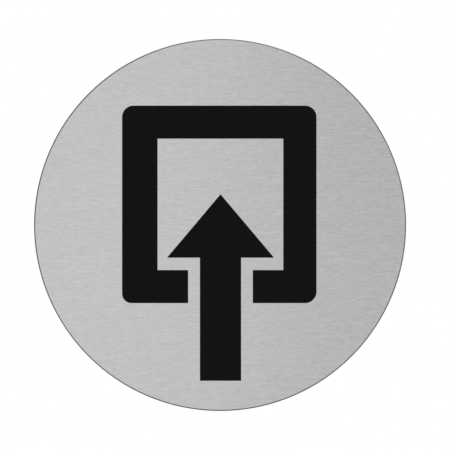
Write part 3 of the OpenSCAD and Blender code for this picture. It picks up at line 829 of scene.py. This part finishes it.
bm = bmesh.new()
for x, y in POSTS:
    lathe(fillet([(2.55, 3), (4, 3), (4, 8), (6, 8), (6, 9), (4, 9), (4, 14.4), (2.55, 14.4)],
                 [0.3, 0.5, 0.05, 0.15, 0.2, 0.1, 0.4, 0.3], steps=3), n=64, m=shift(x, y, 0), bm=bm)
make("guide_bush_set", bm, "base", "guide_bushes", M["acetal"], 30)


def spring_points(turns=6.5, r=4.85, wire=0.7, z0=9.0, z1=17.5, per=28):
    ts = np.linspace(0, turns, int(turns * per) + 1)
    zs = np.interp(ts, [0, 0.9, 1.5, turns - 1.5, turns - 0.9, turns],
                   [z0 + wire / 2, z0 + wire * 1.10, z0 + wire * 1.10 + 0.55, z1 - wire * 1.10 - 0.55, z1 - wire * 1.10, z1 - wire / 2])
    return [(r * math.cos(2 * PI * t), r * math.sin(2 * PI * t), z) for t, z in zip(ts, zs)]


bm = bmesh.new()
for i, (x, y) in enumerate(POSTS):
    tube(spring_points(), 0.345, n=12, bm=bm, m=shift(x, y, 0) @ turn(40 * i, "Z"))
springs = make("return_spring_set", bm, "base", "return_springs", M["spring_wire"], 60, flat=False)
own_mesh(springs)

side = [(case_x, case_z0 + 0.4), (case_x, 4.0)]
side += [(7.15 - 2 * math.cos(q), 4 + 2 * math.sin(q)) for q in np.linspace(0, PI / 2, 9)[1:]]
side += [(case_x + 15, 6), (case_x + 15, 4.5), (7.15, 4.5)]
side += [(7.15 - 0.5 * math.cos(q), 4 + 0.5 * math.sin(q)) for q in np.linspace(PI / 2, 0, 6)[1:]]
side += [(case_x + 1.5, case_z0 + 0.4)]
tools = [rod(1.6, -2, 12, n=32, m=shift(x, y, 0)) for x, y in FOOT]
tools += [rod(1.6, 0, 12, n=32, m=shift(0, y, z) @ AXES["x"]) for y, z in HOLES]
for y in (case_y0 + 1, case_y1 - 1):
    tools.append(box_bm(-2.5, -2.5, 0, 2.5, 2.5, 12, m=shift(case_x + 15, y, 0) @ turn(45, "Z")))
    tools.append(box_bm(-12, -1.6, -1.6, 12, 1.6, 1.6, m=shift(0, y, case_z0 + 0.4) @ turn(45, "X")))
bracket = combine("bracket", slab(side, [], -(case_y1 - 1), -(case_y0 + 1), edge=0, m=AXES["y"]), cut=tools, bevel=0.12, segments=2, angle=30)
finish_piece(bracket, "base", "switch_bracket", M["zinc_plate"], 32)

make("bracket_screw_set", copies(pan_screw(1.5, 2.8, 2, 6.9, 0.5, 3.0, plain=1.2), [shift(x, y, 8) @ turn(25 + 40 * i, "Z") for i, (x, y) in enumerate(FOOT)]),
     "base", "bracket_screws", M["zinc_fasteners"], 35)
make("bracket_nut_set", copies(hex_nut(5.5, 2.4, 1.52), [shift(x, y, 2.1) for x, y in FOOT]),
     "base", "bracket_nuts", M["zinc_fasteners"], 35)
left = [shift(-case_x, y, z) @ turn(-90, "Y") @ turn(20 + 35 * i, "Z") for i, (y, z) in enumerate(HOLES)]
make("switch_screw_set", copies(pan_screw(1.5, 2.8, 2, 14.9, 0.5, 3.0, plain=9), left),
     "base", "switch_screws", M["zinc_fasteners"], 35)
make("switch_nut_set", copies(hex_nut(5.5, 2.4, 1.52), [shift(case_x + 1.5, y, z) @ turn(90, "Y") for y, z in HOLES]),
     "base", "switch_nuts", M["zinc_fasteners"], 35)

# ---------------------------------------------------------------------------
# The switch
# ---------------------------------------------------------------------------


def ear(x0, x1):
    out = [(-17.5, 3.0), (-14.5, 3.0)] + [(-16 + 1.5 * math.cos(q), 5.5 + 1.5 * math.sin(q)) for q in np.linspace(0, PI, 19)]
    return slab(out, [circle(0.62, 24, -16, 5.5)], x0, x1, edge=0, m=AXES["x"])


def outside(x0, x1, c=0.5):
    """The case's outline, its four long corners just broken."""
    return slab(fillet(rect(case_y0, case_z0, case_y1, case_z1), c, steps=4), [], x0, x1, edge=0, m=AXES["x"])


bores = [rod(1.55, -12, 12, n=32, m=shift(0, y, z) @ AXES["x"]) for y, z in HOLES]
cavity = [(-13.2, -10.2), (7.2, -10.2), (7.2, -1.7), (3.2, -1.7), (3.2, 2.3), (-17.2, 2.3), (-17.2, -6.2), (-13.2, -6.2)]
tools = bores + [slab(cavity, [], -3.65, 6, edge=0, m=AXES["x"]), rod(1.28, 0, 8, n=32, m=shift(0, -8, 0))]
tools += [box_bm(-2.45, 2.55, -13, 2.45, 3.45, -9), box_bm(-2.45, -8.45, -13, 2.45, -7.55, -9), box_bm(-2.45, -20, -1.75, 2.45, -16, -0.85)]
# Moulded-in panel and sinks on the outer face
panel = fillet(rect(-11.6, -9.6, 1.8, 1.4), 0.8, steps=4)
tools.append(slab(panel, [], -6, -case_x + 0.25, edge=0, m=AXES["x"]))
for y in (-17.0, 7.0):
    tools.append(rod(0.8, -6, -case_x + 0.2, n=24, m=shift(0, y, -3.9) @ AXES["x"]))
# Wire barriers stand between hollows in the back
for y0, y1 in ((-6.2, 1.0), (-12.6, -9.9), (5.0, 7.6)):
    tools.append(box_bm(-4.2, y0, -12.5, 2.2, y1, -11.5))
case = combine("case", outside(-case_x, 3.15), cut=tools, join=[ear(-4.35, -3.15)], bevel=0.13, segments=2, angle=35)
finish_piece(case, "base", "switch_case", M["switch_moulding"], 32)

tools = [rod(1.55, -12, 12, n=32, m=shift(0, y, z) @ AXES["x"]) for y, z in HOLES]
tools.append(slab(panel, [], case_x - 0.25, 6, edge=0, m=AXES["x"]))
cover = combine("cover", outside(3.15, case_x), cut=tools, join=[ear(3.15, 4.35)], bevel=0.13, segments=2, angle=35)
finish_piece(cover, "base", "switch_cover", M["switch_moulding"], 32)

make("lever_hinge_pin", lathe(fillet([(0, -4.55), (0.6, -4.55), (0.6, 4.55), (0, 4.55)], [0, 0.12, 0.12, 0], closed=False, steps=3),
                              n=32, m=shift(0, -16, 5.5) @ AXES["x"], closed=False), "base", "lever_pin", M["ground_steel"], 35)


def tab_2d(top, tip=-19.5, w=2.4):
    return fillet([(-w, top), (-w, tip + 1.0), (-w + 1.0, tip), (w - 1.0, tip), (w, tip + 1.0), (w, top)], [0, 0.2, 0.3, 0.3, 0.2, 0], steps=3)


# The common terminal, with two ears for the blade's pin
bm = slab(tab_2d(-5.6), [circle(0.8, 28, 0, -16.5)], -3.4, -2.6, edge=0.12, m=AXES["y"])
for x0, x1 in ((-2.4, -1.8), (1.8, 2.4)):
    out = [(2.2, -5.8), (3.8, -5.8)] + [(3 + 0.8 * math.cos(q), -3 + 0.8 * math.sin(q)) for q in np.linspace(0, PI, 13)]
    slab(out, [circle(0.42, 24, 3, -3)], x0, x1, edge=0.06, m=AXES["x"], bm=bm)
make("terminal_common_blade", bm, "base", "terminal_common", M["terminal_brass"], 35)

bm = slab(tab_2d(-6.2), [circle(0.8, 28, 0, -16.5)], 7.6, 8.4, edge=0.12, m=AXES["y"])
slab(rect(-2.4, -13.1, 2.4, -7.6), [], -6.65, -5.85, edge=0.1, bm=bm)
make("terminal_open_blade", bm, "base", "terminal_open", M["terminal_brass"], 35)

out = fillet([(-2.4, -10.4), (-2.4, -24.9), (-1.4, -25.9), (1.4, -25.9), (2.4, -24.9), (2.4, -10.4)], [0.1, 0.2, 0.3, 0.3, 0.2, 0.1], steps=3)
make("terminal_closed_blade", slab(out, [circle(0.8, 28, 0, -22.9)], -1.7, -0.9, edge=0.12), "base", "terminal_closed",
     M["terminal_brass"], 35)

bm = bmesh.new()
for z0, z1, dome in ((-2.3, -1.7, 0), (-5.85, -5.25, 1)):
    prof = [(0, z0), (1.5, z0), (1.5, z1), (0, z1)]
    lathe(fillet(prof, [0, 0.35 if not dome else 0.05, 0.35 if dome else 0.05, 0], closed=False, steps=4), n=36, m=shift(0, -12, 0), bm=bm, closed=False)
make("fixed_contact_pair", bm, "base", "fixed_contacts", M["contact_silver"], 40)
make("blade_hinge_pin", lathe(fillet([(0, -2.4), (0.4, -2.4), (0.4, 2.4), (0, 2.4)], [0, 0.08, 0.08, 0], closed=False, steps=2),
                              n=28, m=shift(0, 3, -3) @ AXES["x"], closed=False), "base", "blade_pin", M["ground_steel"], 35)

# Lever: a flat strip curled round its pin, turned up to where it rests
up = shift(0, -16, 5.5) @ turn(3 / 16 * 180 / PI, "X")
strip = fillet([(-2.4, 0.9), (2.4, 0.9), (2.4, 19.0), (1.5, 20), (-1.5, 20), (-2.4, 19.0)], [0, 0, 0.5, 0.4, 0.4, 0.5], steps=4)
bm = slab(strip, [], -0.25, 0.25, edge=0.1, m=up, steps=2)
lathe(fillet([(0.65, -2.9), (1.2, -2.9), (1.2, 2.9), (0.65, 2.9)], 0.1, steps=2), n=48, m=up @ AXES["x"], bm=bm)
make("switch_lever_strip", bm, "lever", "switch_lever", M["lever_steel"], 35)

make("switch_plunger_pin", lathe(fillet([(0, -2.1), (1.2, -2.1), (1.2, 1.05), (2, 1.05), (2, 2.25), (1.2, 2.25), (1.2, 6.65), (0, 6.65)],
                                        [0, 0.2, 0.05, 0.15, 0.15, 0.05, 0.95, 0], closed=False, steps=5), n=40, m=shift(0, -8, 0), closed=False),
     "plunger", "switch_plunger", M["plunger_moulding"], 35)

bm = slab(rect(-1.6, -13.1, 1.6, 2.4), [circle(0.82, 24, 0, -12)], -3.15, -2.85, edge=0.06)
lathe(fillet([(0.45, -1.6), (0.8, -1.6), (0.8, 1.6), (0.45, 1.6)], 0.06, steps=2), n=32, m=shift(0, 3, -3) @ AXES["x"], bm=bm)
make("snap_blade_strip", bm, "blade", "snap_blade", M["blade_copper"], 35)
make("moving_contact_rivet", lathe(fillet([(0, -3.65), (1.4, -3.65), (1.4, -3.15), (0.8, -3.15), (0.8, -2.85), (1.4, -2.85), (1.4, -2.35), (0, -2.35)],
                                          [0, 0.3, 0.05, 0, 0, 0.05, 0.3, 0], closed=False, steps=4), n=36, m=shift(0, -12, 0), closed=False),
     "blade", "moving_contact", M["contact_silver"], 40)

# ---------------------------------------------------------------------------
# The floor and the light
# ---------------------------------------------------------------------------

bm = bmesh.new()
bmesh.ops.create_circle(bm, cap_ends=True, radius=0.34, segments=128)
me = bpy.data.meshes.new("floor")
bm.to_mesh(me)
bm.free()
floor = bpy.data.objects.new("floor", me)
floor.location = (0, 0, -0.145)
SCENE.collection.objects.link(floor)
fm = bpy.data.materials.new("pale_floor")
fm.use_nodes = True
t = fm.node_tree
b = t.nodes["Principled BSDF"]
b.inputs["Base Color"].default_value = (0.86, 0.86, 0.86, 1)
b.inputs["Roughness"].default_value = 0.7
em = t.nodes.new("ShaderNodeEmission")
em.inputs["Color"].default_value = (1, 1, 1, 1)
mixer = t.nodes.new("ShaderNodeMixShader")
tc = t.nodes.new("ShaderNodeTexCoord")
ln = t.nodes.new("ShaderNodeVectorMath")
ln.operation = "LENGTH"
mr = t.nodes.new("ShaderNodeMapRange")
mr.interpolation_type = "SMOOTHSTEP"
mr.inputs["From Min"].default_value, mr.inputs["From Max"].default_value = 0.08, 0.32
t.links.new(tc.outputs["Object"], ln.inputs[0])
t.links.new(ln.outputs["Value"], mr.inputs["Value"])
t.links.new(mr.outputs["Result"], mixer.inputs[0])
t.links.new(b.outputs[0], mixer.inputs[1])
t.links.new(em.outputs[0], mixer.inputs[2])
t.links.new(mixer.outputs[0], t.nodes["Material Output"].inputs["Surface"])
floor.data.materials.append(fm)

world = bpy.data.worlds.new("studio")
SCENE.world = world
world.use_nodes = True
w = world.node_tree
bg = w.nodes["Background"]
lp = w.nodes.new("ShaderNodeLightPath")
white = w.nodes.new("ShaderNodeBackground")
white.inputs["Color"].default_value = (1, 1, 1, 1)
white.inputs["Strength"].default_value = 1.0
wm = w.nodes.new("ShaderNodeMixShader")
w.links.new(lp.outputs["Is Camera Ray"], wm.inputs[0])
w.links.new(bg.outputs[0], wm.inputs[1])
w.links.new(white.outputs[0], wm.inputs[2])
w.links.new(wm.outputs[0], w.nodes["World Output"].inputs["Surface"])
bg.inputs["Color"].default_value = (1, 1, 1, 1)
bg.inputs["Strength"].default_value = 0.40


def softbox(name, at, size, watts, look=(0, 0, 0), tint=(1, 1, 1)):
    d = bpy.data.lights.new(name, "AREA")
    d.shape, d.size, d.size_y = "RECTANGLE", size[0], size[1]
    d.energy, d.color = watts, tint
    o = bpy.data.objects.new(name, d)
    o.location = at
    o.rotation_euler = (Vector(look) - Vector(at)).to_track_quat("-Z", "Y").to_euler()
    SCENE.collection.objects.link(o)
    return o


softbox("front_left", (-0.4325, -1.3, 0.1), (0.935, 1.3), 2.72, look=(-0.4325, 0, 0.1))
softbox("front_right", (0.4675, -1.3, 0.1), (0.865, 1.3), 1.53, look=(0.4675, 0, 0.1))
softbox("top", (0.1, -0.1, 0.9), (0.8, 0.8), 3.5)
softbox("right", (0.9, -0.2, 0.2), (0.4, 0.8), 1.5)
softbox("back_left", (-0.5, 0.9, 0.4), (0.6, 0.6), 3.0)
